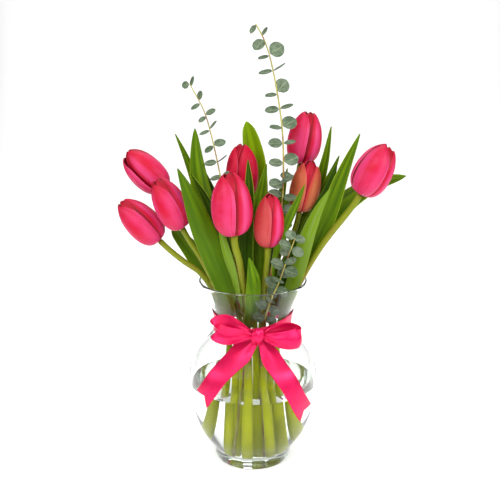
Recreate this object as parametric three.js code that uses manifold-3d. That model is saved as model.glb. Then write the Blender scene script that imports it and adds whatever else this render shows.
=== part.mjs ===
// A bouquet of tulips with eucalyptus sprigs in a clear glass urn vase of water,
// with a satin ribbon tied in a bow at its neck.
// Millimetres, +Z up. The origin is the centre of the vase's flat base.
import * as THREE from 'three';
import { mergeVertices } from 'three/addons/utils/BufferGeometryUtils.js';
import Module from 'manifold-3d';

const wasm = await Module();
wasm.setup();

// ---- driving dimensions -------------------------------------------------

const GAP = 0.3;                 // clearance between pieces that touch
const RIM_RADIUS = 57;           // vase mouth, outside
const RIM_HEIGHT = 203;
const NECK_RADIUS = 40.8;        // narrowest place, outside
const NECK_HEIGHT = 151;
const BELLY_RADIUS = 69.7;
const BELLY_HEIGHT = 92;
const FOOT_RADIUS = 36;          // flat contact ring
const GLASS_WALL = 3;
const FLOOR_HEIGHT = 10;         // inside floor of the vase
const WATER_HEIGHT = 89.5;
const GLASS_SIDES = 28;
const OUTSIDE_STEPS = 24;
const INSIDE_STEPS = 20;

const RIBBON_WIDTH = 22;
const RIBBON_THICKNESS = 0.8;
const RIBBON_CLEARANCE = 0.39;   // from the glass to the band round the neck
const TAIL_CLEARANCE = 1.35;     // from the glass to the middle of a tail's thickness
const TAIL_START_LIFT = 1.3;     // extra at a tail's start, where it comes out of the knot
const TAIL_START_WIDTH = 0.5;    // share of the ribbon's width that shows at the knot
const LOOP_GATHER = 0.42;        // share of the ribbon's width at the knot end of a loop
const BAND_BOTTOM = 148.5;
const KNOT_CENTRE = [4.7, -46.7, 156];
const KNOT_HALF = [6.5, 4.8, 8.5];

const STEM_SIDES = 8;
const STEM_STEPS = 10;
const STEM_SWELL = 1.7;          // how much thicker a stem is at its foot than at its top
const STEM_EVEN_HEIGHT = 200;    // above this a stem keeps one radius
const NECK_LENGTH = 12;          // straight part of a stem under its flower
const LEAF_THICKNESS = 1.2;
const LEAF_STEPS = 9;
const LEAF_TIP = 0.5;            // half width left at a blade's tip
const CLASP_LENGTH = 10;         // straight part of a leaf against its stem
const LEAF_BASE = 0.34;          // width of a blade's base, as a share of its full width
const LEAF_FOLD = 0.32;          // angle of each half of a blade from flat, in radians
const HEAD_SIDES = 18;
const HEAD_ROWS = 8;
const HEAD_WIDEST = 0.42;        // place of a flower's widest ring, as a share of its length
const HEAD_GROOVE = 0.13;        // depth of the grooves, as a share of the half width
const HEAD_DIP = 0.05;           // dip between the petals' points, as a share of the length
const CHANNEL_CLEARANCE = 0.39;  // from a stem to the water round it
const SPRIG_SIDES = 6;
const SPRIG_STEPS = 16;
const ROUND_LEAF_THICKNESS = 0.9;
const ROUND_LEAF_SIDES = 7;
const ROUND_LEAF_LENGTH = 0.92;  // length of a round leaf as a share of its width

const COLOURS = {
  glass: { color: 0xdfe9e4, roughness: 0.05, metalness: 0 },
  water: { color: 0xcfe3dd, roughness: 0.02, metalness: 0 },
  ribbon: { color: 0xe8155a, roughness: 0.35, metalness: 0 },
  petal: { color: 0xe0184f, roughness: 0.5, metalness: 0 },
  bud: { color: 0xc8604a, roughness: 0.5, metalness: 0 },
  stem: { color: 0x8fa032, roughness: 0.5, metalness: 0 },
  leaf: { color: 0x4f7d12, roughness: 0.45, metalness: 0 },
  eucalyptus: { color: 0x6f8f80, roughness: 0.7, metalness: 0 },
};

// Nine tulips. Each stem runs from its foot in the vase through the listed places
// to the base of its flower, which points from base to tip.
const TULIPS = {
  front: {
    radius: 3.6, width: 42, base: [-19, -35, 258], tip: [-24.5, -38, 319],
    route: [[-5, -23.6, 11.2], [-5, -23.6, 90], [-5.5, -24, 150], [-9.5, -28, 200], [-14, -31.5, 232]],
  },
  right_centre: {
    radius: 3, width: 31, base: [15, -28, 245], tip: [16.5, -28, 299],
    route: [[16, -19.5, 12.5], [11, -19.5, 90], [8.5, -19.5, 150], [12, -22.5, 200], [14, -26, 226]],
  },
  back_centre: {
    radius: 3, width: 35, base: [-11, 25, 283], tip: [-11.5, 25, 339],
    route: [[4, 20, 11], [3.3, 20, 90], [1.8, 19.5, 150], [-4, 22.5, 200], [-10, 25, 250]],
  },
  left_middle: {
    radius: 3, width: 35, base: [-72.5, -15, 262], tip: [-97, -20, 312],
    route: [[-21, -15, 11], [-19, -13, 90], [-19.5, -13, 150], [-40, -12.5, 200], [-54, -14, 230]],
  },
  left_low: {
    radius: 3, width: 36, base: [-97, -5, 246], tip: [-136, -5, 286],
    route: [[-32, 18.5, 19.5], [-28, 6, 90], [-27, -2, 150], [-50.4, -5, 206], [-73, -5, 224]],
  },
  left_high: {
    radius: 3, width: 35, base: [-92, 22, 295], tip: [-131, 24, 334],
    route: [[-12, 15, 11], [-12, 13, 90], [-13.5, 11.5, 150], [-32, 15, 200], [-58, 19, 250]],
  },
  right_high: {
    radius: 3, width: 37, base: [50, 34, 320], tip: [58, 34, 374],
    route: [[13.5, 20, 12], [12, 21, 90], [12, 21, 150], [22, 25, 200], [38, 31, 265]],
  },
  half_open: {
    radius: 3, width: 32, base: [49, 13, 273], tip: [60, 13, 327],
    route: [[22, 5.5, 11], [19, 4.5, 90], [20, 4.5, 150], [28, 6, 200], [40, 11, 240]],
  },
  far_right: {
    radius: 3.3, width: 40, base: [109, -10, 296], tip: [136, -10, 345],
    route: [[30, 19.5, 19.5], [27.5, 5, 90], [26.5, -8.5, 150], [50.6, -10, 205.5], [72, -10, 243]],
  },
};

// Twenty leaves. Each clasps a stem at a height, on one side of it (degrees round the
// stem, 0 is +X and 90 is +Y), then follows its own places to its tip. "turn" is the
// way its outer face looks at the tip, and a low "taper" makes a blunt tip.
const LEAVES = {
  leaf_left_thin: {
    on: 'left_high', at: 172, side: 90, turn: 90, width: 14,
    through: [[-33, 21.5, 205], [-45, 24.5, 240], [-57, 27, 290], [-70, 26, 328], [-81, 25, 353]],
  },
  leaf_left_wide: {
    on: 'left_high', at: 174, side: -90, turn: -75, width: 25, taper: 0.7,
    through: [[-31, 8, 203], [-41, 5, 245], [-52, 4, 290], [-57, 5, 325], [-59, 6, 361]],
  },
  leaf_left_front: {
    on: 'left_middle', at: 166, side: -90, turn: -80, width: 27,
    through: [[-27, -18, 194], [-37, -22.5, 225], [-50, -30, 262], [-63, -34.5, 300], [-74, -36, 327]],
  },
  leaf_left_folded: {
    on: 'left_middle', at: 168, side: 90, turn: 60, width: 17,
    through: [[-26, -7, 194], [-28, -5, 235], [-38, -4, 269], [-50, -4, 294], [-63, -4, 316]],
  },
  leaf_left_low: {
    on: 'left_low', at: 156, side: 80, turn: 80, width: 22,
    through: [[-33.5, 5, 188], [-39.5, 6, 204], [-54, 8, 220], [-69, 11, 238], [-86, 14, 254]],
  },
  leaf_back_centre: {
    on: 'back_centre', at: 190, side: 90, turn: 90, width: 30, taper: 0.4,
    through: [[0, 34, 225], [2, 45, 270], [2, 50, 317], [-2, 50, 343], [-7, 50, 363]],
  },
  leaf_centre_dark: {
    on: 'front', at: 168, side: 90, turn: 90, width: 18,
    through: [[-6, -16, 200], [-8, -12, 230], [-7, -9, 265], [-4, -7, 300], [-5, -7, 331]],
  },
  leaf_centre_right: {
    on: 'right_centre', at: 168, side: 115, turn: 90, width: 19,
    through: [[6, -11, 200], [3, -4, 232], [4, 0, 267], [9, 2, 298], [14, 2, 325]],
  },
  leaf_front_small: {
    on: 'front', at: 158, side: -50, turn: -90, width: 18,
    through: [[0, -32, 180], [1.5, -38, 205], [-1, -40, 224], [-4, -40, 237]],
  },
  leaf_right_thin: {
    on: 'right_high', at: 182, side: 30, turn: 90, width: 15,
    through: [[35, 29, 208], [50, 31, 240], [66, 33, 282], [76, 33, 322], [82, 32, 360]],
  },
  leaf_right_short: {
    on: 'right_high', at: 174, side: -60, turn: -90, width: 17,
    through: [[32, 19, 205], [50, 20, 240], [66, 20, 272], [80, 20, 305], [90, 20, 331]],
  },
  leaf_right_dark: {
    on: 'half_open', at: 172, side: -90, turn: -90, width: 20,
    through: [[33, 1, 203], [48, 2.5, 232], [63, 4, 263], [78, 4, 297], [86, 3, 324]],
  },
  leaf_right_long: {
    on: 'far_right', at: 172, side: 90, turn: 90, width: 21,
    through: [[45, -4, 204], [57, -2, 228], [75, -1, 267], [93, -3, 320], [108, -4, 357]],
  },
  leaf_far_right: {
    on: 'half_open', at: 174, side: 90, turn: 90, width: 24,
    through: [[38, 12.5, 204], [57, 11, 238], [77, 11, 268], [100, 12, 293], [129, 12, 309], [159, 11, 311]],
  },
  leaf_right_front: {
    on: 'right_centre', at: 172, side: 5, turn: -60, width: 18,
    through: [[20, -18, 200], [25, -18, 231], [33, -15, 257], [43, -18, 283], [52, -22, 308]],
  },
  leaf_right_grey: {
    on: 'far_right', at: 166, side: -130, turn: -90, width: 18,
    through: [[39, -17, 196], [47, -19, 225], [54, -19, 250], [65, -18, 278], [78, -17, 303]],
  },
  leaf_back_small: {
    on: 'right_high', at: 184, side: 180, turn: 90, width: 14,
    through: [[18, 22, 215], [23, 20, 250], [30, 19, 290], [36, 18, 318]],
  },
  leaf_stem_wrap: {
    on: 'front', at: 174, side: -160, turn: -100, width: 13,
    through: [[-18, -28, 203], [-24.8, -27.8, 229], [-30.5, -26.5, 252], [-35, -22, 272]],
  },
  leaf_back_left: {
    on: 'back_centre', at: 160, side: 180, turn: 110, width: 22,
    through: [[-17, 26, 196], [-30, 38, 235], [-44, 48, 280], [-54, 54, 312]],
  },
  leaf_back_right: {
    on: 'right_high', at: 158, side: 110, turn: 70, width: 22,
    through: [[16, 36, 198], [28, 49, 240], [42, 59, 275], [56, 66, 300]],
  },
};

// Three eucalyptus sprigs: a woody stem with pairs of round leaves at the listed heights,
// each pair turned a quarter round the stem from the last. "leaf" and "tipLeaf" are the
// radii of the lowest and highest leaves, and "lift" is how far they tilt up, in radians.
const SPRIGS = {
  eucalyptus_tall: {
    radius: 1.5, leaf: 7.4, tipLeaf: 5.5, lift: 0.35, start: 20,
    pairs: [276, 292, 309, 328, 347, 364, 381, 398, 418, 435, 451, 461],
    route: [
      [9, -2, 12], [8.5, -2, 90], [9, -3, 150], [17, -3, 200], [24, -1, 240], [30, -1, 285],
      [31, -7, 325], [29.5, -8, 360], [24.5, -5, 396], [16, -3, 435], [10, -3, 451], [2.5, -3, 464],
    ],
  },
  eucalyptus_left: {
    radius: 1.3, leaf: 6.2, tipLeaf: 4, lift: 0.35, start: 35,
    pairs: [311, 325, 344, 359, 375, 387, 402],
    route: [
      [-18.5, -23, 13], [-13, -16.5, 52], [-10.5, -7, 90], [-9.5, 1, 150], [-16, 5, 200], [-24, 6, 255],
      [-34, 8, 313], [-41, 11, 346], [-49.5, 12, 377], [-64, 12, 405],
    ],
  },
  eucalyptus_front: {
    radius: 1.2, leaf: 5.4, tipLeaf: 4.8, lift: 0.8, start: 0,
    pairs: [176, 190, 206, 217, 225, 238, 248, 255],
    route: [
      [9, -24, 112], [10.5, -27.5, 150], [14, -30.5, 176], [20.5, -34, 195],
      [27, -37.5, 212], [34, -39.5, 234], [42, -40.5, 257],
    ],
  },
};

// Centre lines of the two ribbon tails, as seen from the front: [x, z] on the glass.
const TAIL_LEFT = [[0.5, 146], [-12, 138], [-22, 129.5], [-35, 116], [-53, 86]];
const TAIL_RIGHT = [[9, 146], [19, 132.5], [29, 120], [38.5, 105], [55, 67]];
const TAIL_NOTCH = 8;

// Centre lines of the two loops, from the front of the knot out and back behind it.
const LOOP_LEFT = [
  [-1.3, -49.2, 157], [-13, -54.5, 159], [-29, -55, 160], [-39, -50.5, 165], [-29, -46, 169],
  [-14, -45.6, 164], [-2.4, -46, 159],
];
const LOOP_RIGHT = [
  [10.7, -49.2, 156.5], [23, -54.5, 155], [37, -55.5, 155], [46.5, -51, 156.5], [38, -46, 160],
  [24, -45.6, 160], [11.8, -46, 158],
];

// ---- helpers ------------------------------------------------------------

const vec = ([x, y, z]) => new THREE.Vector3(x, y, z);
const curveThrough = (points) => new THREE.CatmullRomCurve3(points.map(vec), false, 'centripetal');
const ease = (from, to, value) => THREE.MathUtils.smoothstep(value, from, to);

// A horizontal unit vector at an angle in degrees.
function heading(degrees) {
  const angle = THREE.MathUtils.degToRad(degrees);
  return new THREE.Vector3(Math.cos(angle), Math.sin(angle), 0);
}

// A closed geometry as a manifold solid, with its faces turned outwards.
function toSolid(geometry) {
  const bare = geometry.index ? geometry.toNonIndexed() : geometry.clone();
  bare.deleteAttribute('normal');
  bare.deleteAttribute('uv');
  const merged = mergeVertices(bare, 1e-3);
  const corner = merged.index.array;
  const place = merged.attributes.position;
  const a = new THREE.Vector3();
  const b = new THREE.Vector3();
  const c = new THREE.Vector3();
  const triangles = [];
  let volume = 0;
  for (let i = 0; i < corner.length; i += 3) {
    const [p, q, r] = [corner[i], corner[i + 1], corner[i + 2]];
    if (p === q || q === r || r === p) continue;
    a.fromBufferAttribute(place, p);
    b.fromBufferAttribute(place, q);
    c.fromBufferAttribute(place, r);
    volume += a.dot(b.cross(c));
    triangles.push(p, q, r);
  }
  if (volume < 0) triangles.reverse();
  const vertProperties = new Float32Array(place.array);
  const triVerts = new Uint32Array(triangles);
  return new wasm.Manifold(new wasm.Mesh({ numProp: 3, vertProperties, triVerts }));
}

function toGeometry(solid) {
  const mesh = solid.getMesh();
  const geometry = new THREE.BufferGeometry();
  geometry.setAttribute('position', new THREE.BufferAttribute(mesh.vertProperties, 3));
  geometry.setIndex(new THREE.BufferAttribute(mesh.triVerts, 1));
  geometry.computeVertexNormals();
  return geometry;
}

const clean = (geometry) => toGeometry(toSolid(geometry));

function piece(name, geometry, finish) {
  const mesh = new THREE.Mesh(geometry, new THREE.MeshStandardMaterial(COLOURS[finish]));
  mesh.name = name;
  return mesh;
}

// A round bar of one radius along a curve, with closed ends.
function bar(curve, radius, sides, steps) {
  const section = new THREE.Shape();
  for (let i = 0; i < sides; i += 1) {
    const angle = (2 * Math.PI * i) / sides;
    section[i ? 'lineTo' : 'moveTo'](radius * Math.cos(angle), radius * Math.sin(angle));
  }
  section.closePath();
  return new THREE.ExtrudeGeometry(section, { steps, bevelEnabled: false, extrudePath: curve });
}

// A round bar along a curve whose radius follows a rule of height, with closed ends.
function taperedBar(curve, radiusRule, sides, steps) {
  const rod = new THREE.CylinderGeometry(1, 1, 1, sides, steps);
  const place = rod.attributes.position;
  for (let i = 0; i < place.count; i += 1) {
    const along = place.getY(i) + 0.5;
    const centre = curve.getPointAt(along);
    const tangent = curve.getTangentAt(along);
    const front = new THREE.Vector3(0, -1, 0);
    front.addScaledVector(tangent, -front.dot(tangent)).normalize();
    const side = tangent.clone().cross(front);
    const radius = radiusRule(centre.z);
    centre.addScaledVector(front, place.getX(i) * radius).addScaledVector(side, place.getZ(i) * radius);
    place.setXYZ(i, centre.x, centre.y, centre.z);
  }
  return rod;
}

// A thin closed plate, shaped by a rule: across runs -1..1, face -0.5..0.5, along 0..1.
function plate(acrossSteps, alongSteps, rule) {
  const box = new THREE.BoxGeometry(2, 1, 1, acrossSteps, 1, alongSteps);
  const place = box.attributes.position;
  for (let i = 0; i < place.count; i += 1) {
    const point = rule(place.getX(i), place.getY(i), place.getZ(i) + 0.5);
    place.setXYZ(i, point.x, point.y, point.z);
  }
  return box;
}

// ---- vase and water -----------------------------------------------------

// Outside of the glass from the foot up to the lip, as radius and height.
const outside = new THREE.SplineCurve([
  [FOOT_RADIUS, 0], [39.8, 1.6], [42, 6.5], [41.4, 12], [48, 22], [56, 34], [64.4, 56],
  [69, 78], [BELLY_RADIUS, BELLY_HEIGHT], [64.4, 117], [47.6, 139], [NECK_RADIUS, NECK_HEIGHT],
  [41.9, 168], [49.3, 185], [RIM_RADIUS, RIM_HEIGHT - 1],
].map(([r, z]) => new THREE.Vector2(r, z)));

// Inside of the glass from the lip down to the floor. The base is thick.
const inside = new THREE.SplineCurve([
  [RIM_RADIUS - GLASS_WALL, RIM_HEIGHT - 0.6], [46.4, 185.5], [38.9, 168],
  [NECK_RADIUS - GLASS_WALL, NECK_HEIGHT], [44.4, 138], [61.4, 116],
  [BELLY_RADIUS - GLASS_WALL, BELLY_HEIGHT], [66, 78], [61.2, 56], [52.6, 35], [44, 22],
  [36, 13.5], [27, FLOOR_HEIGHT + 0.3], [18, FLOOR_HEIGHT],
].map(([r, z]) => new THREE.Vector2(r, z)));

// The radius of a profile, as turned, at a height.
function radiusAt(profile, height) {
  const points = profile.getPoints(profile === outside ? OUTSIDE_STEPS : INSIDE_STEPS);
  for (let i = 1; i < points.length; i += 1) {
    const [low, high] = [points[i - 1], points[i]].sort((p, q) => p.y - q.y);
    if (low.y <= height && height <= high.y) {
      return THREE.MathUtils.mapLinear(height, low.y, high.y, low.x, high.x);
    }
  }
  throw new Error(`no profile at ${height}`);
}

// A solid of revolution about +Z from a profile of radius and height.
function turned(profile) {
  return new THREE.LatheGeometry(profile, GLASS_SIDES).rotateX(Math.PI / 2);
}

function vase() {
  const wall = [
    new THREE.Vector2(0, 0),
    ...outside.getPoints(OUTSIDE_STEPS),
    new THREE.Vector2(RIM_RADIUS - GLASS_WALL / 2, RIM_HEIGHT),
    ...inside.getPoints(INSIDE_STEPS),
    new THREE.Vector2(0, FLOOR_HEIGHT),
  ];
  return clean(turned(wall));
}

// Water to its level, clear of the glass, with a hole for every stem that stands in it.
function water(stems) {
  const wet = [new THREE.Vector2(0, WATER_HEIGHT)];
  wet.push(new THREE.Vector2(radiusAt(inside, WATER_HEIGHT) - GAP, WATER_HEIGHT));
  const clearance = 1.1 * GAP;
  const highestRow = WATER_HEIGHT - 4;
  for (let i = 0; i <= OUTSIDE_STEPS; i += 1) {
    const point = inside.getPoint(i / OUTSIDE_STEPS);
    const slope = inside.getTangent(i / OUTSIDE_STEPS);
    const shifted = new THREE.Vector2(point.x + slope.y * clearance, point.y - slope.x * clearance);
    if (shifted.y < highestRow) wet.push(shifted);
  }
  wet.push(new THREE.Vector2(0, FLOOR_HEIGHT + GAP));
  let body = toSolid(turned(wet));
  const overrun = 5;
  for (const { curve, radiusRule } of stems) {
    const wetPart = [0, 0.25, 0.5, 0.75, 1].map((share) => (
      pointAtHeight(curve, THREE.MathUtils.lerp(curve.getPoint(0).z, WATER_HEIGHT + overrun, share))
    ));
    const below = wetPart[0].clone().sub(wetPart[1]).setLength(overrun).add(wetPart[0]);
    const channel = new THREE.CatmullRomCurve3([below, ...wetPart]);
    const wide = (height) => radiusRule(height) + CHANNEL_CLEARANCE;
    const hole = taperedBar(channel, wide, STEM_SIDES, wetPart.length);
    body = body.subtract(toSolid(hole));
  }
  const largest = body.decompose().sort((p, q) => q.volume() - p.volume())[0];
  return toGeometry(largest);
}

// ---- tulips -------------------------------------------------------------

const direction = (from, to) => vec(to).sub(vec(from)).normalize();

// A stem's centre line ends just under its flower, in line with it.
function stemCurve({ route, base, tip }) {
  const axis = direction(base, tip);
  const end = vec(base).addScaledVector(axis, -GAP);
  const under = vec(base).addScaledVector(axis, -NECK_LENGTH);
  return curveThrough([...route, under.toArray(), end.toArray()]);
}

// A stem is thickest at its foot and even above the vase.
function stemRadius({ radius }, height) {
  return radius + STEM_SWELL * (1 - ease(0, STEM_EVEN_HEIGHT, height));
}

// Radius of a closed tulip along its axis, as a share of its half width.
function headRadius(t) {
  const rise = Math.min(t / HEAD_WIDEST, 1);
  const fall = Math.max((t - HEAD_WIDEST) / (1 - HEAD_WIDEST), 0);
  const bowl = Math.sin((Math.PI / 2) * rise) ** 0.62;
  const taper = Math.max(Math.cos((Math.PI / 2) * fall), 0) ** 0.52;
  return bowl * taper;
}

// A closed flower: wrapped petals, with three grooves where the outer ones meet and a
// small dip between their points. "turn" is where the first petal looks, in radians.
function flower({ base, tip, width }, turn) {
  const axis = direction(base, tip);
  const length = vec(tip).distanceTo(vec(base));
  const ball = new THREE.SphereGeometry(1, HEAD_SIDES, HEAD_ROWS);
  const upright = new THREE.Quaternion().setFromUnitVectors(new THREE.Vector3(0, 0, 1), axis);
  const place = ball.attributes.position;
  for (let i = 0; i < place.count; i += 1) {
    const polar = Math.acos(THREE.MathUtils.clamp(-place.getY(i), -1, 1));
    const t = polar / Math.PI;
    const around = Math.atan2(place.getZ(i), place.getX(i));
    const groove = (1 - Math.abs(Math.cos(1.5 * around))) ** 2;
    const radius = (width / 2) * headRadius(t) * (1 - HEAD_GROOVE * groove);
    const dip = HEAD_DIP * groove * ease(0.7, 0.95, t) * (1 - ease(0.95, 1, t));
    const height = length * (t - dip);
    const spot = new THREE.Vector3(
      radius * Math.cos(around + turn), radius * Math.sin(around + turn), height,
    );
    spot.applyQuaternion(upright).add(vec(base));
    place.setXYZ(i, spot.x, spot.y, spot.z);
  }
  return clean(ball);
}

// ---- leaves -------------------------------------------------------------

// Width of a blade along its length, as a share of its full width.
function bladeWidth(t, taper) {
  const peak = 0.45;             // place of the widest part
  if (t < peak) return LEAF_BASE + (1 - LEAF_BASE) * Math.sin((Math.PI / 2) * (t / peak));
  return Math.max(Math.cos((Math.PI / 2) * ((t - peak) / (1 - peak))), 0) ** taper;
}

function pointAtHeight(curve, height) {
  let [low, high] = [0, 1];
  for (let i = 0; i < 30; i += 1) {
    const middle = (low + high) / 2;
    if (curve.getPoint(middle).z < height) low = middle;
    else high = middle;
  }
  return curve.getPoint(low);
}

function leaf({ on, at, side, turn, width, through, taper = 0.85 }) {
  const tulip = TULIPS[on];
  const stem = stemCurve(tulip);
  const outward = heading(side);
  const seat = stemRadius(tulip, at) + GAP + LEAF_THICKNESS / 2;
  const clasp = [at, at + CLASP_LENGTH].map((height) => (
    pointAtHeight(stem, height).addScaledVector(outward, seat).toArray()
  ));
  const spine = curveThrough([...clasp, ...through]);
  const tipFace = heading(turn);
  return clean(plate(2, LEAF_STEPS, (across, face, along) => {
    const centre = spine.getPointAt(along);
    const tangent = spine.getTangentAt(along);
    const normal = outward.clone().lerp(tipFace, ease(0, 1, along));
    normal.addScaledVector(tangent, -normal.dot(tangent)).normalize();
    const sideways = tangent.clone().cross(normal);
    const half = LEAF_TIP + (width / 2 - LEAF_TIP) * bladeWidth(along, taper);
    const fold = LEAF_FOLD * ease(0.1, 0.45, along);
    centre.addScaledVector(sideways, across * half * Math.cos(fold));
    centre.addScaledVector(normal, face * LEAF_THICKNESS - Math.abs(across) * half * Math.sin(fold));
    return centre;
  }));
}

// ---- eucalyptus ---------------------------------------------------------

// One round leaf whose inner edge is sunk in the stem.
function roundLeaf(root, outward, stemWay, radius, lift) {
  const reach = outward.clone().multiplyScalar(Math.cos(lift)).addScaledVector(stemWay, Math.sin(lift));
  const sideways = stemWay.clone().cross(outward).normalize();
  const face = reach.clone().cross(sideways).normalize();
  const disc = new THREE.CylinderGeometry(radius, radius, ROUND_LEAF_THICKNESS, ROUND_LEAF_SIDES);
  disc.scale(1, 1, ROUND_LEAF_LENGTH);
  const frame = new THREE.Matrix4().makeBasis(reach, face, sideways.clone().negate());
  frame.setPosition(root.clone().addScaledVector(reach, radius));
  return toSolid(disc.applyMatrix4(frame));
}

function sprig({ route, radius, pairs, leaf: size, tipLeaf, lift, start }) {
  const curve = curveThrough(route);
  let body = toSolid(bar(curve, radius, SPRIG_SIDES, SPRIG_STEPS));
  pairs.forEach((height, index) => {
    const root = pointAtHeight(curve, height);
    const stemWay = pointAtHeight(curve, height + 1).sub(pointAtHeight(curve, height - 4)).normalize();
    const outward = heading(start + 90 * index);
    outward.addScaledVector(stemWay, -outward.dot(stemWay)).normalize();
    const reach = THREE.MathUtils.lerp(size, tipLeaf, (index / (pairs.length - 1)) ** 2);
    body = body.add(roundLeaf(root, outward, stemWay, reach, lift));
    body = body.add(roundLeaf(root, outward.clone().negate(), stemWay, reach, lift));
  });
  return toGeometry(body.simplify(0.05));
}

// ---- ribbon -------------------------------------------------------------

// The band round the neck: a closed ring that follows the glass.
function band() {
  const rows = 3;
  const inner = [];
  for (let i = 0; i <= rows; i += 1) {
    const height = BAND_BOTTOM + (RIBBON_WIDTH * i) / rows;
    inner.push(new THREE.Vector2(radiusAt(outside, height) + RIBBON_CLEARANCE, height));
  }
  const outer = inner.map((point) => new THREE.Vector2(point.x + RIBBON_THICKNESS, point.y)).reverse();
  return clean(turned([...inner, ...outer, inner[0].clone()]));
}

function knot() {
  const ball = new THREE.SphereGeometry(1, 12, 8).scale(...KNOT_HALF).translate(...KNOT_CENTRE);
  return clean(ball);
}

// A loop: a strip on edge that leaves the knot, turns over and comes back behind.
function loop(points) {
  const path = curveThrough(points);
  const up = new THREE.Vector3(0, 0, 1);
  return clean(plate(2, 16, (across, face, along) => {
    const centre = path.getPointAt(along);
    const tangent = path.getTangentAt(along);
    const normal = tangent.clone().cross(up).normalize();
    const spread = THREE.MathUtils.lerp(LOOP_GATHER, 1, Math.sin(Math.PI * along) ** 0.7);
    centre.addScaledVector(up, (across * RIBBON_WIDTH * spread) / 2);
    return centre.addScaledVector(normal, face * RIBBON_THICKNESS);
  }));
}

// A point on the front of the glass, or a little off it, seen from the front at x, z.
function onGlass(x, z, offset) {
  const radius = Math.max(radiusAt(outside, z) + offset, Math.abs(x) + 1);
  return new THREE.Vector3(x, -Math.sqrt(radius ** 2 - x ** 2), z);
}

// A tail: a strip that lies on the glass, with a V notch cut in its end.
function tail(centreLine) {
  const path = new THREE.SplineCurve(centreLine.map(([x, z]) => new THREE.Vector2(x, z)));
  return clean(plate(4, 10, (across, face, along) => {
    const spot = path.getPointAt(along);
    const centre = onGlass(spot.x, spot.y, 0);
    const ahead = path.getTangentAt(along);
    const next = onGlass(spot.x + ahead.x * 0.2, spot.y + ahead.y * 0.2, 0);
    const tangent = next.sub(centre).normalize();
    const radial = new THREE.Vector3(centre.x, centre.y, 0).normalize();
    const sideways = tangent.clone().cross(radial).normalize();
    const spread = THREE.MathUtils.lerp(TAIL_START_WIDTH, 1, ease(0, 0.35, along));
    const strip = centre.addScaledVector(sideways, (across * RIBBON_WIDTH * spread) / 2);
    const notch = TAIL_NOTCH * (1 - Math.abs(across)) * ease(0.8, 1, along);
    strip.addScaledVector(tangent, -notch);
    const clearance = TAIL_CLEARANCE + TAIL_START_LIFT * (1 - ease(0.05, 0.3, along));
    const reach = radiusAt(outside, strip.z) + clearance + face * RIBBON_THICKNESS;
    const level = Math.hypot(strip.x, strip.y);
    return new THREE.Vector3((strip.x * reach) / level, (strip.y * reach) / level, strip.z);
  }));
}

// ---- assembly -----------------------------------------------------------

const bouquet = new THREE.Group();
bouquet.name = 'tulips_in_a_vase';

const standing = [
  ...Object.values(TULIPS).map((tulip) => (
    { curve: stemCurve(tulip), radiusRule: (height) => stemRadius(tulip, height) }
  )),
  ...[SPRIGS.eucalyptus_tall, SPRIGS.eucalyptus_left].map(({ route, radius }) => (
    { curve: curveThrough(route), radiusRule: () => radius }
  )),
];
bouquet.add(piece('vase', vase(), 'glass'));
bouquet.add(piece('water', water(standing), 'water'));

const TURN_STEP = 1.1;           // each flower is turned a little from the last
Object.entries(TULIPS).forEach(([name, tulip], index) => {
  const thickness = (height) => stemRadius(tulip, height);
  const stem = clean(taperedBar(stemCurve(tulip), thickness, STEM_SIDES, STEM_STEPS));
  bouquet.add(piece(`stem_${name}`, stem, 'stem'));
  const finish = name === 'half_open' ? 'bud' : 'petal';
  bouquet.add(piece(`flower_${name}`, flower(tulip, index * TURN_STEP), finish));
});

for (const [name, shape] of Object.entries(LEAVES)) {
  bouquet.add(piece(name, leaf(shape), 'leaf'));
}
for (const [name, shape] of Object.entries(SPRIGS)) {
  bouquet.add(piece(name, sprig(shape), 'eucalyptus'));
}

const ribbon = new THREE.Group();
ribbon.add(piece('ribbon_band', band(), 'ribbon'));
ribbon.add(piece('bow_knot', knot(), 'ribbon'));
ribbon.add(piece('bow_loop_left', loop(LOOP_LEFT), 'ribbon'));
ribbon.add(piece('bow_loop_right', loop(LOOP_RIGHT), 'ribbon'));
ribbon.add(piece('bow_tail_left', tail(TAIL_LEFT), 'ribbon'));
ribbon.add(piece('bow_tail_right', tail(TAIL_RIGHT), 'ribbon'));
bouquet.add(ribbon);

export default bouquet;
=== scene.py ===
"""Tulips and eucalyptus in a clear glass urn of water, with a satin bow at its neck.

Places and routes are in millimetres, in the frame's own axes: +Z up, the front is -Y, and
the origin is the centre of the vase's foot. They keep close to those of the solids.
"""

import bisect
import random
from math import cos, exp, hypot, pi, radians, sin, sqrt
from typing import NamedTuple

import bmesh
import bpy
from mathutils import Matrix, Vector


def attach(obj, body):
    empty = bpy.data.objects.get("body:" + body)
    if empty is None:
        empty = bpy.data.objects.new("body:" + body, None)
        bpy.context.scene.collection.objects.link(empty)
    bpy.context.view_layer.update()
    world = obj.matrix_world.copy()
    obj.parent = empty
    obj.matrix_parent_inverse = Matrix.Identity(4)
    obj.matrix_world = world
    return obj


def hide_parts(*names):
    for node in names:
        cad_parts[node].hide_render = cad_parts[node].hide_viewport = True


bl_info = {
    "name": "Tulips in a vase",
    "version": (1, 0, 0),
    "blender": (4, 5, 0),
    "location": "View3D > Sidebar > Bouquet",
    "description": "Builds tulips, leaves and eucalyptus in a glass vase with a satin bow",
    "category": "Object",
}

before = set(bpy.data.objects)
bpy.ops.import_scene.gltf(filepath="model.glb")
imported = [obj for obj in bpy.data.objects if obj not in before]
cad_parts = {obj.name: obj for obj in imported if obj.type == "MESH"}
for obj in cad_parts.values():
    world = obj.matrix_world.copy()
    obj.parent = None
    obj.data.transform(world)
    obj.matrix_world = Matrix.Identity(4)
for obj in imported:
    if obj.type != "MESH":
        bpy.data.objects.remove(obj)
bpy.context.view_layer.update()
MM = 0.001
SEAM = 1e-6
FRONT = Vector((0, -1, 0))
UP = Vector((0, 0, 1))
WHITE = (1, 1, 1, 1)

# ---- places and sizes, in millimetres

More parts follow.
